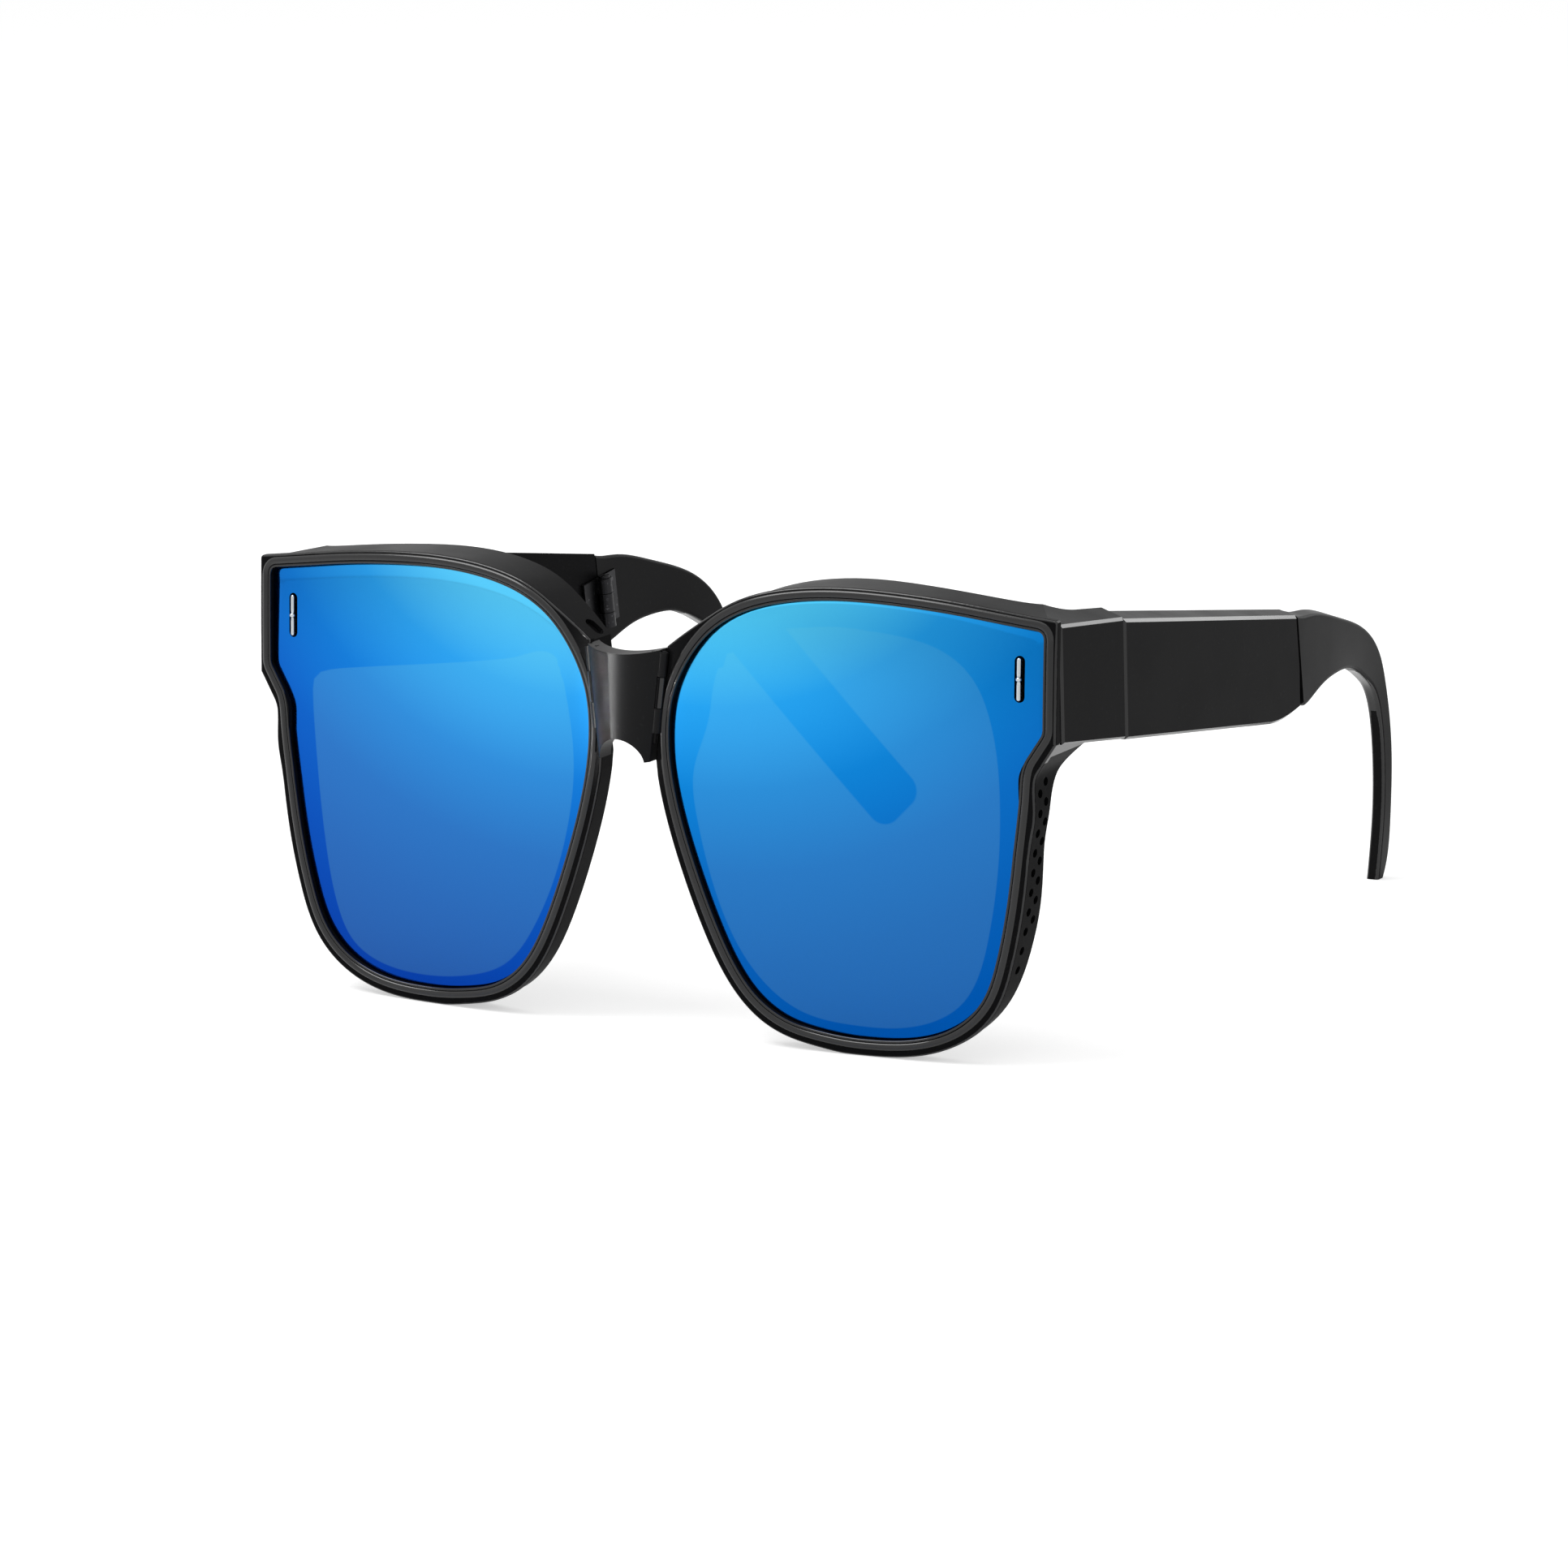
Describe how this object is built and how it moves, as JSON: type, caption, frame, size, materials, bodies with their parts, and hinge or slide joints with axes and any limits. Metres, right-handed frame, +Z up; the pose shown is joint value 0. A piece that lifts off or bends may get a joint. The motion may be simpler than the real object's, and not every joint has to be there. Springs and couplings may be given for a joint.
{
  "type": "fitover sunglasses",
  "caption": "Folding fit-over sunglasses: deep glossy black frame with saddle bridge, large blue mirror lenses, vented sides and two-piece temples that fold in half.",
  "frame": {"origin": "centre of the footprint of the open glasses, on the floor they stand on", "axes": "lenses face -Y, temples run back along +Y, +X is the wearer's left, +Z up"},
  "size_m": [0.151, 0.1491, 0.0754],
  "materials": {
    "black_frame": "polished black injection-moulded plastic",
    "mirror_lens": "blue mirror coating on a tinted plastic lens",
    "bright_inlay": "polished",
    "hinge_steel": "plain steel"
  },
  "bodies": {
    "bridge": {"bridge": "black_frame", "left_bridge_pin": "hinge_steel", "right_bridge_pin": "hinge_steel"},
    "left_front": {"left_rim": "black_frame", "left_lens": "mirror_lens", "left_lens_rivet": "bright_inlay", "left_end_hinge_front_leaf": "hinge_steel", "left_end_hinge_screw": "hinge_steel"},
    "left_arm": {"left_temple": "black_frame", "left_end_hinge_rear_leaf": "hinge_steel", "left_fold_hinge_front_leaf": "hinge_steel", "left_fold_hinge_screw": "hinge_steel"},
    "left_tip": {"left_temple_tip": "black_frame", "left_fold_hinge_rear_leaf": "hinge_steel"},
    "right_front": {"right_rim": "black_frame", "right_lens": "mirror_lens", "right_lens_rivet": "bright_inlay", "right_end_hinge_front_leaf": "hinge_steel", "right_end_hinge_screw": "hinge_steel"},
    "right_arm": {"right_temple": "black_frame", "right_end_hinge_rear_leaf": "hinge_steel", "right_fold_hinge_front_leaf": "hinge_steel", "right_fold_hinge_screw": "hinge_steel"},
    "right_tip": {"right_temple_tip": "black_frame", "right_fold_hinge_rear_leaf": "hinge_steel"}
  },
  "joints": [
    {"name": "left_bridge_fold", "type": "hinge", "parent": "bridge", "child": "left_front", "pos_m": [0.00619, -0.07068, 0.0566], "axis": [-0.1146, -0.0633, -0.9914], "range_deg": [0, 90]},
    {"name": "left_temple_fold", "type": "hinge", "parent": "left_front", "child": "left_arm", "pos_m": [0.0692, -0.04045, 0.06007], "axis": [0, 0, 1], "range_deg": [0, 90]},
    {"name": "left_tip_fold", "type": "hinge", "parent": "left_arm", "child": "left_tip", "pos_m": [0.0665, 0.02865, 0.048], "axis": [0, -0.1219, 0.9925], "range_deg": [0, 170]},
    {"name": "right_bridge_fold", "type": "hinge", "parent": "bridge", "child": "right_front", "pos_m": [-0.00619, -0.07068, 0.0566], "axis": [-0.1146, 0.0633, 0.9914], "range_deg": [0, 90]},
    {"name": "right_temple_fold", "type": "hinge", "parent": "right_front", "child": "right_arm", "pos_m": [-0.0692, -0.04045, 0.06007], "axis": [0, 0, -1], "range_deg": [0, 90]},
    {"name": "right_tip_fold", "type": "hinge", "parent": "right_arm", "child": "right_tip", "pos_m": [-0.0665, 0.02865, 0.048], "axis": [0, 0.1219, -0.9925], "range_deg": [0, 170]}
  ]
}
